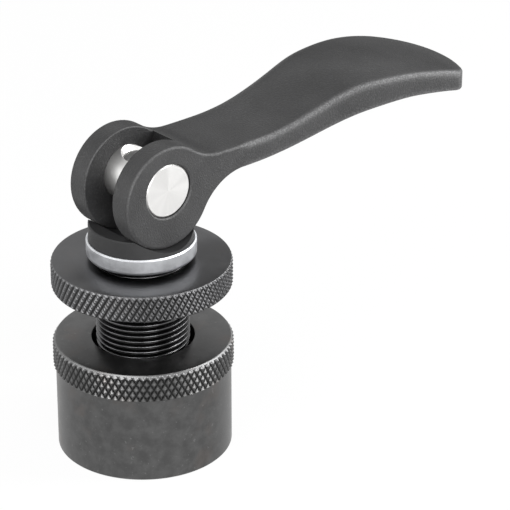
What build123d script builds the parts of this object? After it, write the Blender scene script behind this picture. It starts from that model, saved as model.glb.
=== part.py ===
from build123d import *
import math
import os

# Welding table fixture clamp, in millimetres.
# The origin is the centre of the base's underside and +Z runs up along the draw bolt.
# The closed lever points to +X and its pivot pin lies along Y.

# Clearances
running = 0.06
rotor_gap = 0.3
bolt_gap = 0.5

# Base
base_radius = 22.5
base_height = 30.2
base_edge = 0.4
band_height = 7.4
band_rise = 0.7
band_relief = 0.8
mouth_radius = 13.15
mouth_depth = 5.0
floor_thickness = 6.4

# Draw bolt, its head washer and the recess for them in the base's underside
bolt_radius = 4.0
bolt_tip_chamfer = 0.7
bolt_end_depth = 1.2
head_radius = 6.5
head_height = 8.0
head_edge = 0.6
socket_flats = 6.0
socket_depth = 4.0
head_washer_radius = 8.0
head_washer_thickness = 1.6
head_wall_gap = 0.6
head_below = 2.0

# Threaded sleeve (M24 x 1.5, drawn at its outer diameter)
sleeve_radius = 12.0
sleeve_above_nut = 1.2
sleeve_edge = 0.8
sleeve_drop = 1.5
pocket_radius = 9.2
pocket_depth = 14.0

# Return spring and its seat
spring_wire = 1.6
spring_wall_gap = 0.7
spring_turns = 4.5
seat_thickness = 1.0
seat_wall_gap = 0.4

# Guide pin in the base's floor
guide_radius = 1.25
guide_pressed = 6.0
guide_reach = 6.5
guide_gap = 0.15
guide_headroom = 2.6

# Adjusting nut
nut_radius = 23.1
nut_thickness = 6.9
nut_edge = 0.45
clamp_gap = 15.0

# Thrust washer
thrust_radius = 14.0
thrust_thickness = 4.5
thrust_lower_round = 1.1
thrust_upper_edge = 0.35
thrust_rim = 0.6
thrust_recess = 1.5

# Contact washer
contact_thickness = 6.0
contact_edge = 0.3
trough_radius = 15.6
trough_offset = 0.8
trough_web = 2.15

# Cam lever: fork
eccentric_radius = 13.5
cam_throw = 1.85
fork_width = 22.6
slot_width = 10.8
slot_end = 9.0
slot_edge = 0.4
pin_hole_edge = 0.35

# Cam lever: handle, with heights above or below the pin's axis
lever_reach = 102.5
neck_root = 12.0
neck_top = 5.4
neck_thickness = 6.2
neck_fillet = 15.0
hump_top = 11.35
hump_thickness = 7.5
tip_top = 4.6
tip_thickness = 5.3
tip_radius = 32.0
tip_corner = 5.5
blade_width = 34.6
blade_crown = 1.9
neck_crown = 0.1
lever_edge = 0.8

# Pivot pin
pin_radius = 7.05
pin_recess = 0.4
pin_edge = 0.45
pin_countersink = 1.3

# Heights that follow from the stack
recess_depth = head_below + head_height + head_washer_thickness
bore_floor = recess_depth + floor_thickness
sleeve_bottom = bore_floor + sleeve_drop
nut_bottom = base_height + clamp_gap
sleeve_top = nut_bottom + nut_thickness + sleeve_above_nut
contact_seat = sleeve_top + thrust_thickness - thrust_recess
contact_top = contact_seat + contact_thickness
trough_bottom = contact_seat + trough_web
pin_height = trough_bottom + rotor_gap + eccentric_radius + cam_throw


def turned(points):
    """Solid of revolution about Z from (radius, height) corners."""
    return revolve(Plane.XZ * make_face(Polyline(*points, close=True)), Axis.Z)


def disc(radius, bottom, top):
    """Plain cylinder about Z between two heights."""
    return Pos(0, 0, bottom) * Cylinder(radius, top - bottom, align=(Align.CENTER, Align.CENTER, Align.MIN))


def base_body():
    """Turned base: raised band for the knurl, stepped bore above, bolt recess below."""
    band = base_radius + band_rise
    band_top = base_height - band_relief * 1.3
    body = turned([
        (0, 0),
        (base_radius - base_edge, 0),
        (base_radius, base_edge),
        (base_radius, base_height - band_height),
        (band, base_height - band_height + band_rise * 0.5),
        (band, band_top),
        (band - band_relief, base_height),
        (0, base_height),
    ])
    body -= disc(sleeve_radius + running, bore_floor, base_height + 1)
    body -= disc(mouth_radius, base_height - mouth_depth, base_height + 1)
    body -= disc(bolt_radius + bolt_gap, 0, base_height)
    body -= disc(head_washer_radius + head_wall_gap, -1, recess_depth)
    body -= Pos(guide_circle(), 0, 0) * disc(guide_radius, bore_floor - guide_pressed, bore_floor + 1)
    return body


def guide_circle():
    """Distance of the guide pin from the bore's axis: the middle of the sleeve's lower wall."""
    return -(pocket_radius + sleeve_radius) / 2


def guide_pin():
    """Dowel pressed into the base's floor."""
    pin = disc(guide_radius, bore_floor - guide_pressed, bore_floor + guide_reach)
    pin = chamfer(pin.edges().group_by(Axis.Z)[-1], guide_radius * 0.3)
    return Pos(guide_circle(), 0, 0) * pin


def head_washer():
    """Flat washer between the bolt's head and the base's floor."""
    return disc(head_washer_radius, recess_depth - head_washer_thickness, recess_depth) - disc(
        bolt_radius + bolt_gap / 2, 0, recess_depth + 1
    )


def draw_bolt():
    """Socket-head screw up through the clamp into the pivot pin's tapped hole."""
    head_top = recess_depth - head_washer_thickness
    head = disc(head_radius, head_below, head_top)
    head = chamfer(head.edges().group_by(Axis.Z)[0], head_edge)
    socket = extrude(Pos(0, 0, head_below) * RegularPolygon(socket_flats / 2, 6, major_radius=False), socket_depth)
    tip = pin_height + pin_radius - bolt_end_depth
    shank = disc(bolt_radius, head_top, tip)
    shank = chamfer(shank.edges().group_by(Axis.Z)[-1], bolt_tip_chamfer)
    return head + shank - socket


def threaded_sleeve():
    """Sleeve with a spring pocket below and a notch for the guide pin."""
    sleeve = turned([
        (bolt_radius + bolt_gap, sleeve_top),
        (bolt_radius + bolt_gap, sleeve_bottom + pocket_depth),
        (pocket_radius, sleeve_bottom + pocket_depth),
        (pocket_radius, sleeve_bottom),
        (sleeve_radius - sleeve_edge, sleeve_bottom),
        (sleeve_radius, sleeve_bottom + sleeve_edge),
        (sleeve_radius, sleeve_top - sleeve_edge),
        (sleeve_radius - sleeve_edge, sleeve_top),
    ])
    notch_half = guide_radius + guide_gap
    notch_top = bore_floor + guide_reach + guide_headroom
    wall = sleeve_radius - pocket_radius + 2
    notch = Pos(guide_circle(), 0, (sleeve_bottom + notch_top - notch_half - 1) / 2) * Box(
        wall, 2 * notch_half, notch_top - notch_half - sleeve_bottom + 1
    )
    crown = Pos(guide_circle(), 0, notch_top - notch_half) * Rot(0, 90, 0) * Cylinder(notch_half, wall)
    return sleeve - notch - crown


def spring_seat():
    """Thin washer under the spring, inside the sleeve's pocket radius."""
    outer = pocket_radius - seat_wall_gap
    return disc(outer, bore_floor, bore_floor + seat_thickness) - disc(
        bolt_radius + bolt_gap, bore_floor - 1, bore_floor + seat_thickness + 1
    )


def return_spring():
    """Compression spring from the seat to the ceiling of the sleeve's pocket."""
    low = bore_floor + seat_thickness + spring_wire / 2
    high = sleeve_bottom + pocket_depth - spring_wire / 2
    coil_radius = pocket_radius - spring_wall_gap - spring_wire / 2
    path = Pos(0, 0, low) * Helix((high - low) / spring_turns, high - low, coil_radius)
    section = Plane(path @ 0, z_dir=path % 0) * Circle(spring_wire / 2)
    return sweep(section, path, is_frenet=True)


def adjusting_nut():
    """Thin round nut on the sleeve: its rim is knurled."""
    top = nut_bottom + nut_thickness
    return turned([
        (sleeve_radius + running, nut_bottom),
        (nut_radius - nut_edge, nut_bottom),
        (nut_radius, nut_bottom + nut_edge * 1.2),
        (nut_radius, top - nut_edge * 1.6),
        (nut_radius - nut_edge, top),
        (sleeve_radius + running, top),
    ])


def thrust_washer():
    """Thick steel washer with a shallow dish that centres the plastic washer."""
    top = sleeve_top + thrust_thickness
    dish = thrust_radius - thrust_rim
    washer = turned([
        (bolt_radius + bolt_gap, sleeve_top),
        (thrust_radius, sleeve_top),
        (thrust_radius, top - thrust_upper_edge),
        (thrust_radius - thrust_upper_edge, top),
        (dish, top),
        (dish, contact_seat),
        (bolt_radius + bolt_gap, contact_seat),
    ])
    lower_rim = washer.edges().filter_by(GeomType.CIRCLE).group_by(Axis.Z)[0].sort_by(SortBy.RADIUS)[-1]
    return fillet(lower_rim, thrust_lower_round)


def contact_washer():
    """Plastic washer with the trough that the cam ears bear on."""
    radius = thrust_radius - thrust_rim - running
    washer = disc(radius, contact_seat, contact_top) - disc(bolt_radius + bolt_gap, contact_seat - 1, contact_top + 1)
    washer -= Pos(trough_offset, 0, trough_bottom + trough_radius) * Rot(90, 0, 0) * Cylinder(
        trough_radius, 4 * radius
    )
    rim = washer.edges().filter_by(GeomType.CIRCLE).filter_by(
        lambda e: abs(e.radius - radius) < 0.01 and abs(e.center().Z - contact_top) < 0.01
    )
    return chamfer(rim, contact_edge)


def pivot_pin():
    """Cross pin with a tapped hole through its middle for the draw bolt."""
    half = fork_width / 2 - pin_recess
    pin = Rot(90, 0, 0) * Cylinder(pin_radius, 2 * half)
    pin = chamfer(pin.edges().filter_by(GeomType.CIRCLE), pin_edge)
    pin -= Cylinder(bolt_radius, 4 * pin_radius)
    mouth = Cone(bolt_radius, bolt_radius + 2 * pin_countersink, 2 * pin_countersink)
    pin -= Pos(0, 0, pin_radius) * mouth
    return Pos(0, 0, pin_height) * pin


def handle_plan():
    """Outline of the handle from above: straight beside the fork, widening to the blade, arched tip."""
    half_fork = fork_width / 2
    half_blade = blade_width / 2
    run = lever_reach - neck_root
    spread = half_blade - half_fork

    def flank(along, share):
        return (neck_root + run * along, half_fork + spread * share)

    widening = [(0.05, 0), (0.2, 0.05), (0.375, 0.17), (0.465, 0.29), (0.55, 0.475), (0.64, 0.7)]
    widening += [(0.73, 0.88), (0.83, 1), (0.91, 0.98), (1.0, 0.88)]
    with BuildSketch() as outline:
        with BuildLine():
            Polyline((0, 0), (0, half_fork), flank(0.05, 0))
            Spline(*[flank(*point) for point in widening], tangents=[(1, 0), (1, -0.12)])
            Polyline(flank(1.0, 0.88), (lever_reach, 0), (0, 0))
        make_face()
        mirror(about=Plane.XZ)
    tip_centre = lever_reach - tip_radius
    reach = Pos(tip_centre, 0) * Circle(tip_radius) + Pos(tip_centre / 2, 0) * Rectangle(
        tip_centre, 2 * tip_radius
    )
    plan = outline.sketch & reach
    corners = plan.vertices().filter_by(lambda v: v.X > tip_centre and abs(v.Y) > half_fork)
    return fillet(corners, tip_corner)


def handle_slab():
    """Crowned, S-curved slab, wider than the handle, lofted through its cross-sections."""
    span = blade_width * 0.7
    run = lever_reach - neck_root
    half_fork = fork_width / 2
    widening = blade_width / 2 - half_fork

    def section(along, edge, thickness, crown, spread):
        """The edge's height holds at the handle's flank, the crown adds to it on the middle line."""
        stretch = (span / (half_fork + widening * spread)) ** 2 - 1
        hollow = crown * 0.6
        lower = edge - thickness
        top_end = edge - crown * stretch
        low_end = lower - hollow * stretch
        with BuildSketch(Plane.YZ.offset(neck_root + run * along)) as face:
            with BuildLine():
                ThreePointArc((-span, top_end), (0, edge + crown), (span, top_end))
                Polyline((span, top_end), (span, low_end))
                ThreePointArc((span, low_end), (0, lower + hollow), (-span, low_end))
                Polyline((-span, low_end), (-span, top_end))
            make_face()
        return face.sketch

    rise = hump_top - neck_top
    fall = hump_top - tip_top
    swell = hump_thickness - neck_thickness
    taper = hump_thickness - tip_thickness
    arch = blade_crown - neck_crown
    climb = [(-0.16, 0.15, 0.3, 0, 0), (0.02, 0.09, 0.2, 0, 0), (0.11, 0.02, 0.1, 0, 0), (0.2, 0, 0, 0.02, 0.05)]
    climb += [(0.285, 0.09, 0, 0.18, 0.1), (0.375, 0.34, 0.3, 0.55, 0.17)]
    climb += [(0.465, 0.67, 0.7, 0.9, 0.29), (0.55, 0.95, 1, 1, 0.475)]
    sections = [
        section(along, neck_top + rise * up, neck_thickness + swell * thick, neck_crown + arch * crowned, spread)
        for along, up, thick, crowned, spread in climb
    ]
    descent = [(0.64, 0, 0.2, 0.7), (0.73, 0.07, 0.5, 0.88), (0.82, 0.26, 0.7, 1), (0.91, 0.56, 0.87, 1)]
    descent += [(1.0, 1.0, 1, 1), (1.07, 1.38, 1, 1)]
    for along, down, thin, spread in descent:
        sections.append(section(along, hump_top - fall * down, hump_thickness - taper * thin, blade_crown, spread))
    return loft(sections)


def crosses_neck(edge):
    """True for the curved edges where the handle's top and underside run into the head."""
    level = abs((edge % 0.5).Y) > 0.9 and edge.geom_type != GeomType.LINE
    return level and edge.center().X < lever_reach / 2


def cam_lever():
    """Die-cast lever in one piece: forked eccentric head, smooth neck, S-curved blade."""
    height = 6 * hump_top
    blade = Pos(0, 0, -height / 2) * extrude(handle_plan(), height) & handle_slab()
    lever = Pos(0, 0, -cam_throw) * Rot(90, 0, 0) * Cylinder(eccentric_radius, fork_width) + blade
    for place in (-1, 0):
        lever = fillet(lever.edges().filter_by(crosses_neck).sort_by(Axis.Z)[place], neck_fillet)
    rims = lever.edges().filter_by(lambda e: e.geom_type != GeomType.LINE and not crosses_neck(e))
    lever = fillet(rims, lever_edge)
    slot = Box(2 * eccentric_radius, slot_width, 4 * eccentric_radius, align=(Align.MAX, Align.CENTER, Align.CENTER))
    lever -= Pos(slot_end, 0, 0) * slot
    lips = lever.edges().filter_by(lambda e: abs(abs((e @ 0.5).Y) - slot_width / 2) < 0.01)
    lever = fillet(lips.filter_by(GeomType.CIRCLE), slot_edge)
    bore = pin_radius + running
    lever -= Rot(90, 0, 0) * Cylinder(bore, 2 * fork_width)
    mouths = lever.edges().filter_by(GeomType.CIRCLE).filter_by(
        lambda e: abs(e.radius - bore) < 0.01 and abs(abs(e.center().Y) - fork_width / 2) < 0.01
    )
    lever = chamfer(mouths, pin_hole_edge)
    return Pos(0, 0, pin_height) * lever


os.makedirs("parts", exist_ok=True)
export_step(base_body(), "parts/base_body.step")
export_step(guide_pin(), "parts/guide_pin.step")
export_step(head_washer(), "parts/head_washer.step")
export_step(draw_bolt(), "parts/draw_bolt.step")
export_step(spring_seat(), "parts/spring_seat.step")
export_step(return_spring(), "parts/return_spring.step")
export_step(threaded_sleeve(), "parts/threaded_sleeve.step")
export_step(adjusting_nut(), "parts/adjusting_nut.step")
export_step(thrust_washer(), "parts/thrust_washer.step")
export_step(contact_washer(), "parts/contact_washer.step")
export_step(pivot_pin(), "parts/pivot_pin.step")
export_step(cam_lever(), "parts/cam_lever.step")
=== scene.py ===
import math

import bpy
import numpy as np
from mathutils import Matrix, Vector


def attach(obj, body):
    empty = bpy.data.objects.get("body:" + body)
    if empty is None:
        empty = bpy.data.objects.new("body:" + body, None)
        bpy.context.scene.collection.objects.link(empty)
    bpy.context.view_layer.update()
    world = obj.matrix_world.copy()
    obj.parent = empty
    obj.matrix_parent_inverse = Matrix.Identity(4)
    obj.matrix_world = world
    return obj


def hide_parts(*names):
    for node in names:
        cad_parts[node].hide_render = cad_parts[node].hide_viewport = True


# Looks of a welding table fixture clamp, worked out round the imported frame.
# Lengths in the dictionaries are millimetres and angles are degrees, unless a note says otherwise.

mm = 0.001
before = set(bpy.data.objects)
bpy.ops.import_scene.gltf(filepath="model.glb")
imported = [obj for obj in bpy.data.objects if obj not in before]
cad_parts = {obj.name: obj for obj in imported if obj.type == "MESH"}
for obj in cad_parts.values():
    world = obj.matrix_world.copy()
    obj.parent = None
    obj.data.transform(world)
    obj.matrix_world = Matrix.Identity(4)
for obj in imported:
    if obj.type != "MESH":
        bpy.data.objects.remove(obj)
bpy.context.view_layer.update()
print("frame loaded:", ", ".join(sorted(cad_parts)))


# Camera

photoView = {
    "target": (21.34, -19.03, 52.58),
    "azimuth": -41.728,
    "elevation": 26.199,
    "roll": -0.065,
    "distance": 704.5,
    "lens": 197.25,
    "sensor": 36,
    "near": 10,
    "far": 20000,
}


def addCamera(view):
    # The camera stands off the target along the view's direction and is rolled about it.
    azimuth, elevation, roll = (math.radians(view[key]) for key in ("azimuth", "elevation", "roll"))
    back = Vector((
        math.sin(azimuth) * math.cos(elevation),
        -math.cos(azimuth) * math.cos(elevation),
        math.sin(elevation),
    ))
    right = Vector((math.cos(azimuth), math.sin(azimuth), 0))
    up = back.cross(right)
    rolledRight = math.cos(roll) * right + math.sin(roll) * up
    rolledUp = math.cos(roll) * up - math.sin(roll) * right
    place = (Vector(view["target"]) + back * view["distance"]) * mm
    lens = bpy.data.cameras.new("photoCamera")
    lens.lens = view["lens"]
    lens.sensor_width = view["sensor"]
    lens.clip_start = view["near"] * mm
    lens.clip_end = view["far"] * mm
    camera = bpy.data.objects.new("photoCamera", lens)
    turn = Matrix((rolledRight, rolledUp, back)).transposed().to_4x4()
    camera.matrix_world = Matrix.Translation(place) @ turn
    bpy.context.scene.collection.objects.link(camera)
    bpy.context.scene.camera = camera


addCamera(photoView)
bpy.context.scene.view_settings.view_transform = "Standard"
print("camera set")


# Shader tools

class Wire:
    # A socket that takes part in Python arithmetic: each operator adds one Math node.
    def __init__(self, owner, socket):
        self.owner = owner
        self.socket = socket

    def step(self, operation, *values):
        return self.owner.node("ShaderNodeMath", {"operation": operation}, dict(enumerate(values)))

    def __add__(self, other):
        return self.step("ADD", self, other)

    def __sub__(self, other):
        return self.step("SUBTRACT", self, other)

    def __rsub__(self, other):
        return self.step("SUBTRACT", other, self)

    def __mul__(self, other):
        return self.step("MULTIPLY", self, other)

    def __abs__(self):
        return self.step("ABSOLUTE", self)

    def larger(self, other):
        return self.step("MAXIMUM", self, other)

    def bearing(self, other):
        # Angle in radians round the origin of the point whose coordinates are other and this wire.
        return self.step("ARCTAN2", self, other)

    __radd__ = __add__
    __rmul__ = __mul__


class Wiring:
    # A node tree. node() adds one node: its settings first, then the values or links of its sockets.
    def __init__(self, tree):
        self.tree = tree

    def node(self, kind, settings=None, values=None, output=0):
        made = self.tree.nodes.new(kind)
        for key, value in (settings or {}).items():
            setattr(made, key, value)
        for key, value in (values or {}).items():
            if isinstance(value, Wire):
                self.join(value, made.inputs[key])
            else:
                made.inputs[key].default_value = value
        return Wire(self, made.outputs[output])

    def join(self, wire, socket):
        self.tree.links.new(wire.socket, socket)


class Finish(Wiring):
    # One material. Constants go on the shader's own sockets, and feed() links what varies.
    def __init__(self, name, constants):
        self.material = bpy.data.materials.new(name)
        self.material.use_nodes = True
        super().__init__(self.material.node_tree)
        self.shader = self.tree.nodes["Principled BSDF"]
        self.output = self.tree.nodes["Material Output"]
        for socket, value in constants.items():
            self.shader.inputs[socket].default_value = value

    def feed(self, socket, wire):
        self.join(wire, self.shader.inputs[socket])

    def place(self, centre=(0, 0, 0)):
        # Object coordinates in millimetres about a centre.
        return self.node("ShaderNodeMapping", {"vector_type": "TEXTURE"}, {
            "Vector": self.node("ShaderNodeTexCoord", output="Object"),
            "Location": [c * mm for c in centre],
            "Scale": (mm, mm, mm),
        })

    def noise(self, where, size, detail=3, rough=0.5):
        # Cloudy noise from 0 to 1 with patches of about this size in millimetres.
        return self.node("ShaderNodeTexNoise", None, {
            "Vector": where, "Scale": 1 / size, "Detail": detail, "Roughness": rough,
        })

    def rings(self, value, size, detail=2):
        # Noise of one number, for marks that repeat along one direction only.
        return self.node("ShaderNodeTexNoise", {"noise_dimensions": "1D"}, {
            "W": value, "Scale": 1 / size, "Detail": detail, "Roughness": 0.6,
        })

    def axes(self, where):
        return [self.node("ShaderNodeSeparateXYZ", None, {0: where}, output=i) for i in range(3)]

    def spread(self, where, kept):
        # Distance from the axis whose share in kept is 0.
        flat = self.node("ShaderNodeVectorMath", {"operation": "MULTIPLY"}, {0: where, 1: kept})
        return self.node("ShaderNodeVectorMath", {"operation": "LENGTH"}, {0: flat}, output="Value")

    def ramp(self, wire, low, high, start=0.0, end=1.0):
        # Smooth step of the wire between low and high, from start to end.
        return self.node("ShaderNodeMapRange", {"interpolation_type": "SMOOTHSTEP"}, {
            "Value": wire, "From Min": low, "From Max": high, "To Min": start, "To Max": end,
        })

    def swing(self, noise, start=0.0, end=1.0):
        # Smooth step over 0.3 to 0.7, where nearly all of a noise lies.
        return self.ramp(noise, 0.3, 0.7, start, end)

    def blend(self, factor, first, second):
        # Mix of two colours, each a tuple or a wire.
        def colour(c):
            return c if isinstance(c, Wire) else (*c, 1)
        return self.node("ShaderNodeMix", {"data_type": "RGBA"}, {
            0: factor, 6: colour(first), 7: colour(second),
        }, output=2)

    def between(self, factor, first, second):
        # Mix of two vectors.
        return self.node("ShaderNodeMix", {"data_type": "VECTOR"}, {0: factor, 4: first, 5: second}, output=1)

    def bump(self, layers, normal=None):
        # Chain of bumps on a normal; each layer is a height from 0 to 1 and its depth in millimetres.
        for height, depth in layers:
            values = {"Height": height, "Distance": depth * mm, "Strength": 1.0}
            if normal is not None:
                values["Normal"] = normal
            normal = self.node("ShaderNodeBump", None, values)
        self.feed("Normal", normal)


def dress(piece, finish):
    piece.data.materials.clear()
    piece.data.materials.append(finish.material)


# Light and ground

studio = {
    "worldDiffuse": 0.4,        # strength of the white room on matt surfaces
    "worldGlossy": 0.97,        # and as it is mirrored; by eye it is 1
    "groundColour": (0.8, 0.8, 0.8),
    "groundGlow": 0.95,
    "groundHalf": 4000,
    "aim": (20, 0, 50),
    "lamps": (
        # name, place, size, watts
        ("topLamp", (-650, -250, 650), 500, 4.5),
        ("rimLamp", (520, -470, 620), 260, 5.0),
        ("rightLamp", (800, -420, 120), 600, 7.5),
        ("leftLamp", (-750, 350, 250), 600, 2.5),
        ("frontLamp", (-280, -670, 200), 400, 5.0),
    ),
}


def addRoom(setup):
    # White world: full strength by eye, worldGlossy in reflections and worldDiffuse otherwise.
    world = bpy.data.worlds.new("paleRoom")
    world.use_nodes = True
    bpy.context.scene.world = world
    room = Wiring(world.node_tree)
    seen = room.node("ShaderNodeLightPath", output="Is Camera Ray")
    mirrored = room.node("ShaderNodeLightPath", output="Is Glossy Ray")
    strength = seen.larger(mirrored * setup["worldGlossy"]).larger(setup["worldDiffuse"])
    background = room.tree.nodes["Background"]
    background.inputs["Color"].default_value = (1, 1, 1, 1)
    room.join(strength, background.inputs["Strength"])


def addLamps(setup):
    target = Vector([c * mm for c in setup["aim"]])
    for name, place, size, power in setup["lamps"]:
        light = bpy.data.lights.new(name, "AREA")
        light.size = size * mm
        light.energy = power
        lamp = bpy.data.objects.new(name, light)
        spot = Vector(place) * mm
        aim = (target - spot).to_track_quat("-Z", "Y")
        lamp.matrix_world = Matrix.Translation(spot) @ aim.to_matrix().to_4x4()
        bpy.context.scene.collection.objects.link(lamp)


def addGround(setup):
    # A flat sheet: its own colour takes the shadow, and its glow is seen by eye and mirrored in metal.
    half = setup["groundHalf"] * mm
    corners = [(-half, -half, 0), (half, -half, 0), (half, half, 0), (-half, half, 0)]
    mesh = bpy.data.meshes.new("ground")
    mesh.from_pydata(corners, [], [(0, 1, 2, 3)])
    ground = bpy.data.objects.new("ground", mesh)
    bpy.context.scene.collection.objects.link(ground)
    paint = Finish("paleGround", {
        "Base Color": (*setup["groundColour"], 1), "Roughness": 1.0, "Specular IOR Level": 0,
    })
    glow = paint.node("ShaderNodeEmission", None, {"Color": (1, 1, 1, 1), "Strength": 1.0})
    seen = paint.node("ShaderNodeLightPath", output="Is Camera Ray")
    mirrored = paint.node("ShaderNodeLightPath", output="Is Glossy Ray")
    mixed = paint.node("ShaderNodeMixShader", None, {
        0: (seen + mirrored) * setup["groundGlow"],
        1: Wire(paint, paint.shader.outputs[0]),
        2: glow,
    })
    paint.join(mixed, paint.output.inputs["Surface"])
    dress(ground, paint)


addRoom(studio)
addLamps(studio)
addGround(studio)
print("studio set")


# Surfaces of revolution

def softSection(corners, rounds, steps=4):
    # Closed outline in the half plane (radius, height): each corner becomes a parabola between
    # two points that lie the corner's round away from it along its sides.
    corner = np.array(corners, float)
    reach = np.array(rounds, float)[:, None]
    before = np.roll(corner, 1, 0) - corner
    after = np.roll(corner, -1, 0) - corner
    start = corner + reach * before / np.linalg.norm(before, axis=1)[:, None]
    end = corner + reach * after / np.linalg.norm(after, axis=1)[:, None]
    t = np.linspace(0, 1, steps)[None, :, None]
    curve = (1 - t) ** 2 * start[:, None] + 2 * t * (1 - t) * corner[:, None] + t ** 2 * end[:, None]
    return curve.reshape(-1, 2)


def refined(outline, longest):
    # The outline with points added on each side so that no step is longer than the given length.
    following = np.roll(outline, -1, 0)
    length = np.linalg.norm(following - outline, axis=1)
    counts = np.maximum(np.ceil(length / longest), 1).astype(int)
    index = np.repeat(np.arange(len(outline)), counts)
    share = (np.arange(counts.sum()) - np.repeat(np.cumsum(counts) - counts, counts)) / counts[index]
    return outline[index] + share[:, None] * (following - outline)[index]


def ringPiece(name, body, radius, height, angles, shadeAndWear, sharp=35):
    # Closed ring: row i is one step round the section, column j one angle round Z, and the point is
    # (radius cos angle, radius sin angle, height). Its shadeAndWear, from 0 in a groove, where the
    # finish paints shade, to 1 on a worn point, is kept for the finish. Edges that bend by more than
    # sharp stay sharp.
    rows, columns = radius.shape
    points = np.stack([radius * np.cos(angles), radius * np.sin(angles), height], -1) * mm
    i, j = np.meshgrid(np.arange(rows), np.arange(columns), indexing="ij")
    below, after = (i + 1) % rows, (j + 1) % columns
    faces = np.stack([i * columns + j, i * columns + after, below * columns + after, below * columns + j], -1)
    mesh = bpy.data.meshes.new(name)
    mesh.vertices.add(rows * columns)
    mesh.vertices.foreach_set("co", points.astype(np.float32).ravel())
    mesh.loops.add(faces.size)
    mesh.loops.foreach_set("vertex_index", faces.astype(np.int32).ravel())
    mesh.polygons.add(rows * columns)
    mesh.polygons.foreach_set("loop_start", np.arange(0, faces.size, 4, dtype=np.int32))
    mesh.update(calc_edges=True)
    layer = mesh.attributes.new("shadeAndWear", "FLOAT", "POINT")
    layer.data.foreach_set("value", shadeAndWear.astype(np.float32).ravel())
    piece = bpy.data.objects.new(name, mesh)
    bpy.context.scene.collection.objects.link(piece)
    mesh.shade_smooth()
    mesh.set_sharp_from_angle(angle=math.radians(sharp))
    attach(piece, body)
    return piece


def knurl(angles, height, spec):
    # Diamond knurl from 0 in the grooves to 1 on the points: the lower of two sawtooth waves that
    # wind round the axis the opposite way, each with a groove for every tooth. Where halfway is
    # above 0, the left wave has one more groove midway between two of its own, that share as deep.
    turns = spec["teeth"] * angles / (2 * np.pi)
    climb = spec["teeth"] * height * math.tan(math.radians(spec["slant"])) / (2 * np.pi * spec["crest"])
    left = np.abs((turns + climb) % 1 - 0.5) * 2
    right = np.abs((turns - climb) % 1 - 0.5) * 2
    if spec["halfway"] > 0:
        left = np.minimum(left * 2, 1 - spec["halfway"] * np.maximum(left * 2 - 1, 0))
    return np.minimum(left, right)


def onBand(points, spec):
    # Whether each point of a section lies between the band's two heights, on the outside.
    low, high = spec["band"]
    return (points[:, 1] > low) & (points[:, 1] < high) & (points[:, 0] > spec["bandInside"])


def knurledRing(name, body, spec):
    # The section turned round Z, in short steps on the band and longer ones elsewhere. On the band
    # the radius is the lower of the section's and the knurl's, which lies depth below the crest in
    # the grooves. The shadeAndWear is the knurl's height on the band, at least rimWear above the
    # rim's height, and elsewhere boreShade in the bore, which the finish paints as shade, and
    # wallWear outside it.
    outline = softSection(spec["corners"], spec["rounds"])
    fine = refined(outline, spec["rowStep"])
    coarse = refined(outline, spec["rowStep"] * spec["coarser"])
    fineBand, coarseBand = onBand(fine, spec), onBand(coarse, spec)
    start = np.argmax(coarseBand)
    section = np.concatenate([coarse[:start], fine[fineBand], coarse[start:][~coarseBand[start:]]])
    band = np.zeros((len(section), 1), bool)
    band[start:start + fineBand.sum()] = True
    columns = spec["teeth"] * spec["perTooth"]
    angles = np.arange(columns)[None] * 2 * np.pi / columns
    plainRadius, level = section[:, :1], section[:, 1:]
    crest = np.minimum(knurl(angles, level, spec) / spec["flat"], 1)
    cutting = spec["crest"] - spec["depth"] * (1 - crest)
    radius = np.where(band, np.minimum(plainRadius, cutting), plainRadius)
    height = np.broadcast_to(level, crest.shape)
    # a low value in the bore, which the finish paints as shade
    plain = np.where(plainRadius < spec["bore"], spec["boreShade"], spec["wallWear"])
    # the knurl's height: low in the grooves, where the finish paints shade, and high on worn points
    worn = np.where(level > spec["rim"], np.maximum(crest, spec["rimWear"]), crest)
    return ringPiece(name, body, radius, height, angles, np.where(band, worn, plain))


baseShape = {
    "corners": (
        (8.6, 0), (22.1, 0), (22.5, 0.4), (22.5, 22.8), (23.2, 23.15), (23.2, 29.16), (22.4, 30.2),
        (13.15, 30.2), (13.15, 25.2), (12.06, 25.2), (12.06, 18.0), (4.5, 18.0), (4.5, 11.6), (8.6, 11.6),
    ),
    "rounds": (0.3, 0.12, 0.12, 0.2, 0.12, 0.1, 0.1, 0.22, 0.3, 0.1, 0.1, 0.1, 0.2, 0.1),
    "band": (22.95, 30.1),
    "bandInside": 22.0,
    "crest": 23.2,
    "depth": 0.55,
    "flat": 0.96,       # share of the wave's height at which its points are flattened
    "teeth": 79,
    "slant": 31,
    "halfway": 0,
    "perTooth": 10,     # columns for each tooth
    "rowStep": 0.18,
    "coarser": 14,
    "bore": 13.3,
    "boreShade": 0.1,
    "wallWear": 0.75,
    "rim": 29.3,
    "rimWear": 0.89,
}
base = knurledRing("knurledBase", "base", baseShape)
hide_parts("base_body")

nutShape = {
    "corners": ((12.06, 45.2), (22.65, 45.2), (23.1, 45.74), (23.1, 51.38), (22.65, 52.1), (12.06, 52.1)),
    "rounds": (0.2, 0.1, 0.1, 0.1, 0.1, 0.2),
    "band": (45.25, 52.05),
    "bandInside": 22.0,
    "crest": 23.1,
    "depth": 0.5,
    "flat": 0.96,
    "teeth": 80,
    "slant": 31,
    "halfway": 0.7,
    "perTooth": 15,
    "rowStep": 0.14,
    "coarser": 14,
    "bore": 12.4,
    "boreShade": 0.1,
    "wallWear": 0.75,
    "rim": 51.5,
    "rimWear": 0.89,
}
nut = knurledRing("knurledNut", "nut", nutShape)
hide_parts("adjusting_nut")
print("base and nut turned and knurled")


# Threaded sleeve

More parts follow.
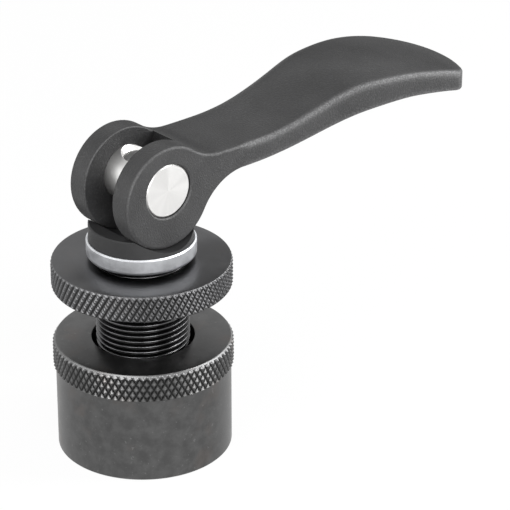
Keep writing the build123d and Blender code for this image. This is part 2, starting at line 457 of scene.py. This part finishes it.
sleeveShape = {
    "bottom": 19.5,
    "top": 53.3,
    "crest": 12.0,
    "edge": 0.8,
    "pitch": 1.5,
    "threadCut": 0.6134,    # depth as a share of the pitch
    "threadFlat": 0.1,      # flat crest and flat root, each as a share of the pitch
    "pocket": 9.2,
    "pocketTop": 33.5,
    "bore": 4.5,
    "chamfer": 0.2,
    "notchHalf": 1.4,
    "notchTop": 27.1,
    "notchMiddle": 10.6,
    "notchColumns": 9,
    "notchSide": 0.002,     # radians across the notch's upright sides
    "notchClear": 0.01,     # radians kept free of other columns
    "knee": 28.6,
    "columns": 120,
    "rowStep": 0.045,
    "lowerRows": 70,
}


def threadRadius(angles, height, spec):
    # Metric thread: a line that winds up one pitch a turn. The radius falls by the cut's depth from
    # the flat crest to the flat root, with a smooth step down each flank.
    phase = (height / spec["pitch"] - angles / (2 * np.pi)) % 1
    flat = spec["threadFlat"]
    flank = np.clip((np.abs(phase - 0.5) * 2 - flat) / (1 - 2 * flat), 0, 1)
    depth = spec["threadCut"] * spec["pitch"]
    return spec["crest"] - depth * (1 - flank ** 2 * (3 - 2 * flank))


def sleevePiece(spec):
    # The outside carries the thread, held under a cone at each end. Its rows are level above the
    # knee; below it they are squeezed over the guide pin's notch, a half circle on straight sides.
    # The inside is a bore with chamfered ends over a wider pocket. The shadeAndWear is the thread's
    # height: 0 in the roots and all through the bore, where the finish paints shade.
    half, chamfer = spec["notchHalf"], spec["chamfer"]
    notchAngle = math.asin(half / spec["notchMiddle"])
    even = np.arange(spec["columns"]) * 2 * np.pi / spec["columns"]
    inNotch = np.pi + np.linspace(-notchAngle, notchAngle, spec["notchColumns"])
    sides = np.pi + np.array([-1, 1]) * (notchAngle + spec["notchSide"])
    outside = even[np.abs(even - np.pi) > notchAngle + spec["notchClear"]]
    angles = np.sort(np.concatenate([outside, inNotch, sides]))[None]
    across = spec["notchMiddle"] * np.sin(angles - np.pi)
    arch = spec["notchTop"] - half + np.sqrt(np.maximum(half ** 2 - across ** 2, 0))
    cut = np.abs(angles - np.pi) <= notchAngle + 1e-6
    lower = np.where(cut, arch, spec["bottom"])
    share = np.linspace(0, 1, spec["lowerRows"], endpoint=False)[:, None]
    level = np.arange(spec["knee"], spec["top"], spec["rowStep"])
    level = np.append(level, spec["top"])[:, None]
    outerHeight = np.concatenate([lower + (spec["knee"] - lower) * share, level + 0 * lower])
    fromEnd = np.minimum(outerHeight - spec["bottom"], spec["top"] - outerHeight)
    cone = spec["crest"] - spec["edge"] + fromEnd
    outer = np.minimum(threadRadius(angles, outerHeight, spec), cone)
    inner = (
        (spec["bore"] + chamfer, spec["top"]),
        (spec["bore"], spec["top"] - chamfer),
        (spec["bore"], spec["pocketTop"] + chamfer),
        (spec["bore"] + chamfer, spec["pocketTop"]),
        (spec["pocket"], spec["pocketTop"]),
        (spec["pocket"], lower),
    )
    radius = np.concatenate([outer] + [r + 0 * lower for r, _ in inner])
    height = np.concatenate([outerHeight] + [h + 0 * lower for _, h in inner])
    # painted shade in the thread's roots and in the bore, and wear on the crests
    shadeAndWear = np.clip(1 - (spec["crest"] - radius) / (spec["threadCut"] * spec["pitch"]), 0, 1)
    piece = ringPiece("cutSleeve", "sleeve", radius, height, angles, shadeAndWear, sharp=60)
    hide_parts("threaded_sleeve")
    return piece


sleeve = sleevePiece(sleeveShape)
print("sleeve threaded")


# Finishes

baseLook = {
    "anisotropic": 0.5, "rough": (0.3, 0.4), "roughBand": (0.25, 0.75),
    "patch": 3.2, "dark": (0.086, 0.086, 0.086), "light": (0.117, 0.117, 0.117),
    "brown": 0.35, "brownPatch": 2.1, "brownBand": (0.52, 0.75), "brownColour": (0.125, 0.104, 0.094),
    "specks": 0.35, "speck": 0.9, "speckBand": (0.66, 0.74), "speckColour": (0.24, 0.24, 0.24),
    # painted shade in grooves and bores: where it ends and its colour
    "grooveShadeEnd": 0.62, "grooveShadeColour": (0.016, 0.016, 0.016),
    "worn": 0.32, "wornFrom": 0.8, "wornColour": (0.36, 0.36, 0.365),
    "mark": 0.3, "markDepth": 0.004, "grain": 0.25, "grainDepth": 0.004,
}
nutLook = dict(
    baseLook, anisotropic=0.8, rough=(0.36, 0.46), dark=(0.09, 0.09, 0.092), light=(0.105, 0.105, 0.108),
    brown=0.1, specks=0.08, grooveShadeColour=(0.024, 0.024, 0.024), worn=0.2, markDepth=0.003, grainDepth=0.001,
)
sleeveLook = dict(
    nutLook, anisotropic=0.2, rough=(0.2, 0.28), grooveShadeEnd=0.6, grooveShadeColour=baseLook["grooveShadeColour"],
    worn=0.1, markDepth=0.001,
)


def blackOxide(name, look):
    # Blackened steel, turned round Z. Its colour is the share of light that it mirrors: patches from
    # dark to light, a brown cast in patches brownPatch times as large, and specks. It goes to a
    # painted shade, the grooveShadeColour, as the shadeAndWear falls from grooveShadeEnd to 0, which
    # darkens the grooves and bores, and lighter, as wear, as it rises from wornFrom to 1.
    # The turning marks are noise of the radius plus the height.
    steel = Finish(name, {"Metallic": 1.0, "Anisotropic": look["anisotropic"]})
    where = steel.place()
    patches = steel.noise(where, look["patch"], detail=5, rough=0.62)
    plain = steel.blend(steel.swing(patches), look["dark"], look["light"])
    cast = steel.noise(where, look["patch"] * look["brownPatch"])
    brown = steel.ramp(cast, *look["brownBand"], 0, look["brown"])
    tinted = steel.blend(brown, plain, look["brownColour"])
    specks = steel.ramp(steel.noise(where, look["speck"], detail=2), *look["speckBand"])
    speckled = steel.blend(specks * look["specks"], tinted, look["speckColour"])
    shadeAndWear = steel.node("ShaderNodeAttribute", {"attribute_name": "shadeAndWear"}, output="Fac")
    # painted shade: grooves and bores darkened towards the groove shade colour
    paintedGrooveShade = steel.blend(steel.ramp(shadeAndWear, 0, look["grooveShadeEnd"]), look["grooveShadeColour"], speckled)
    worn = steel.ramp(shadeAndWear, look["wornFrom"], 1, 0, look["worn"])
    steel.feed("Base Color", steel.blend(worn, paintedGrooveShade, look["wornColour"]))
    steel.feed("Roughness", steel.ramp(patches, *look["roughBand"], *look["rough"]))
    marks = steel.rings(steel.spread(where, (1, 1, 0)) + steel.axes(where)[2], look["mark"])
    grain = steel.noise(where, look["grain"], detail=2)
    steel.bump(((marks, look["markDepth"]), (grain, look["grainDepth"])))
    return steel


dress(base, blackOxide("blackOxideBase", baseLook))
dress(nut, blackOxide("blackOxideNut", nutLook))
dress(sleeve, blackOxide("blackOxideSleeve", sleeveLook))

leverLook = {
    "specular": 0.45, "rough": (0.46, 0.56), "dry": 0.5, "dryBand": (0.5, 0.76),
    "cloud": 9.0, "dark": (0.011, 0.011, 0.0114), "light": (0.018, 0.018, 0.0185),
    "grain": 0.45, "grainDepth": 0.13, "swell": 6.0, "swellDepth": 0.02,
    "rim": 3.5, "bladeBand": (20, 28), "headShare": 0.17,
    # painted highlight along the rims, in specks: its colour, facing share, band and least share
    "paintedRimHighlight": (0.13, 0.13, 0.132), "highlightFacing": 0.68, "highlightBand": (0.08, 0.34), "highlightLeast": 0.35,
    "speck": 0.4, "speckBand": (0.35, 0.65), "dust": 0.12, "dustBand": (0.5, 0.75),
}


def castingCoat(look):
    # Satin coat on a die casting: a fine orange-peel grain over slow unevenness. From the head to
    # the blade its normal goes over to that of rims rounded by the radius rim. A highlight is painted
    # lighter, in specks, where the share of that normal across the lever is near highlightFacing, as it
    # is on the rims, and on the head only headShare as much. A dust of the same specks lies
    # everywhere. Seen edge-on the coat is rougher by dry, which takes its gloss down.
    coat = Finish("satinCastingCoat", {"Specular IOR Level": look["specular"]})
    where = coat.place()
    cloud = coat.noise(where, look["cloud"], detail=4)
    grain = coat.noise(where, look["grain"], detail=2)
    swell = coat.noise(where, look["swell"])
    specks = coat.noise(where, look["speck"], detail=2)
    onBlade = coat.ramp(coat.axes(where)[0], *look["bladeBand"])
    flat = coat.node("ShaderNodeNewGeometry", output="Normal")
    rounded = coat.node("ShaderNodeBevel", {"samples": 8}, {"Radius": look["rim"] * mm})
    normal = coat.between(onBlade, flat, rounded)
    facing = coat.node("ShaderNodeVectorTransform", {
        "vector_type": "NORMAL", "convert_from": "WORLD", "convert_to": "OBJECT",
    }, {"Vector": normal})
    offRim = abs(abs(coat.axes(facing)[1]) - look["highlightFacing"])
    # mask of the painted rim highlight
    rim = coat.ramp(offRim, *look["highlightBand"], 1, 0) * coat.ramp(onBlade, 0, 1, look["headShare"], 1)
    paintedRimHighlight = rim * coat.ramp(specks, *look["speckBand"], look["highlightLeast"], 1)
    dusted = coat.ramp(specks, *look["dustBand"], 0, look["dust"])
    painted = coat.blend(coat.swing(cloud), look["dark"], look["light"])
    coat.feed("Base Color", coat.blend(paintedRimHighlight + dusted, painted, look["paintedRimHighlight"]))
    edgeOn = coat.node("ShaderNodeLayerWeight", None, {"Blend": 0.5}, output="Facing")
    dry = coat.ramp(edgeOn, *look["dryBand"], 0, look["dry"])
    coat.feed("Roughness", coat.swing(grain, *look["rough"]) + dry)
    coat.bump(((swell, look["swellDepth"]), (grain, look["grainDepth"])), normal)
    return coat


plasticLook = {
    "specular": 0.3, "rough": (0.5, 0.62), "grain": 0.3, "grainDepth": 0.006,
    "cloud": 4.0, "dark": (0.013, 0.013, 0.0135), "light": (0.021, 0.021, 0.0215),
}


def mouldedPlastic(look):
    # Matt moulded plastic with a faint grain, which also varies its gloss.
    plastic = Finish("mattMouldedPlastic", {"Specular IOR Level": look["specular"]})
    where = plastic.place()
    grain = plastic.noise(where, look["grain"])
    cloud = plastic.noise(where, look["cloud"])
    plastic.feed("Base Color", plastic.blend(cloud, look["dark"], look["light"]))
    plastic.feed("Roughness", plastic.swing(grain, *look["rough"]))
    plastic.bump(((grain, look["grainDepth"]),))
    return plastic


thrustLook = {
    "anisotropic": 0.6, "rough": 0.4, "roughMore": 0.12,
    "colour": (0.57, 0.58, 0.6), "film": 5.0, "dull": 0.8,
    "dent": 1.6, "dentDepth": 0.008, "grain": 0.3, "grainDepth": 0.001,
}
headWasherLook = dict(thrustLook, colour=(0.5, 0.5, 0.5), rough=0.36)
seatLook = dict(thrustLook, colour=(0.55, 0.55, 0.54), rough=0.34)
springLook = dict(thrustLook, colour=(0.3, 0.3, 0.31), rough=0.3)


def barrelZinc(name, look):
    # Metal that was tumbled: soft dents under a faint grain, and a film whose patches go from the
    # dull share of the colour up to the colour.
    zinc = Finish(name, {"Metallic": 1.0, "Anisotropic": look["anisotropic"]})
    where = zinc.place()
    dents = zinc.noise(where, look["dent"], detail=2)
    film = zinc.noise(where, look["film"], detail=4, rough=0.6)
    grain = zinc.noise(where, look["grain"], detail=1)
    dull = tuple(c * look["dull"] for c in look["colour"])
    zinc.feed("Base Color", zinc.blend(zinc.swing(film), dull, look["colour"]))
    zinc.feed("Roughness", zinc.swing(dents, look["rough"], look["rough"] + look["roughMore"]))
    zinc.bump(((dents, look["dentDepth"]), (grain, look["grainDepth"])))
    return zinc


pinLook = {
    "centre": (0, 0, 74.1), "kept": (1, 0, 1), "colour": (0.72, 0.715, 0.705),
    "highlightFanSize": 1.1, "dull": 0.88, "rough": 0.38, "roughMore": 0.1,
    "mark": 0.4, "markDepth": 0.003, "grain": 0.3, "grainShare": 0.3,
}
boltLook = dict(pinLook, centre=(0, 0, 0), kept=(1, 1, 0), colour=(0.36, 0.36, 0.36), rough=0.3, mark=0.5)
guideLook = dict(
    pinLook, centre=(-10.6, 0, 0), kept=(1, 1, 0), colour=(0.55, 0.55, 0.55), rough=0.2, mark=0.2,
    markDepth=0.001,
)


def turnedSteel(name, look):
    # Bright steel, turned round the axis through the centre whose share in kept is 0: rings of
    # marks by the distance from it, and a painted highlight fan of darker and lighter wedges by the
    # angle round it.
    steel = Finish(name, {"Metallic": 1.0})
    where = steel.place(look["centre"])
    rings = steel.rings(steel.spread(where, look["kept"]), look["mark"])
    first, second = (axis for axis, share in zip(steel.axes(where), look["kept"]) if share)
    # painted highlight: a fan of lighter and darker wedges round the axis
    paintedHighlightFan = steel.rings(first.bearing(second), look["highlightFanSize"], detail=1)
    grain = steel.noise(where, look["grain"])
    dull = tuple(c * look["dull"] for c in look["colour"])
    steel.feed("Base Color", steel.blend(steel.swing(paintedHighlightFan), dull, look["colour"]))
    steel.feed("Roughness", steel.swing(rings, look["rough"], look["rough"] + look["roughMore"]))
    steel.bump(((rings, look["markDepth"]), (grain, look["markDepth"] * look["grainShare"])))
    return steel


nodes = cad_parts
dress(nodes["cam_lever"], castingCoat(leverLook))
dress(nodes["contact_washer"], mouldedPlastic(plasticLook))
dress(nodes["thrust_washer"], barrelZinc("barrelZinc", thrustLook))
dress(nodes["head_washer"], barrelZinc("dullZinc", headWasherLook))
dress(nodes["spring_seat"], barrelZinc("seatZinc", seatLook))
dress(nodes["return_spring"], barrelZinc("drawnWire", springLook))
dress(nodes["pivot_pin"], turnedSteel("turnedPinSteel", pinLook))
dress(nodes["draw_bolt"], turnedSteel("plainBoltSteel", boltLook))
dress(nodes["guide_pin"], turnedSteel("groundPinSteel", guideLook))
print("finishes set")
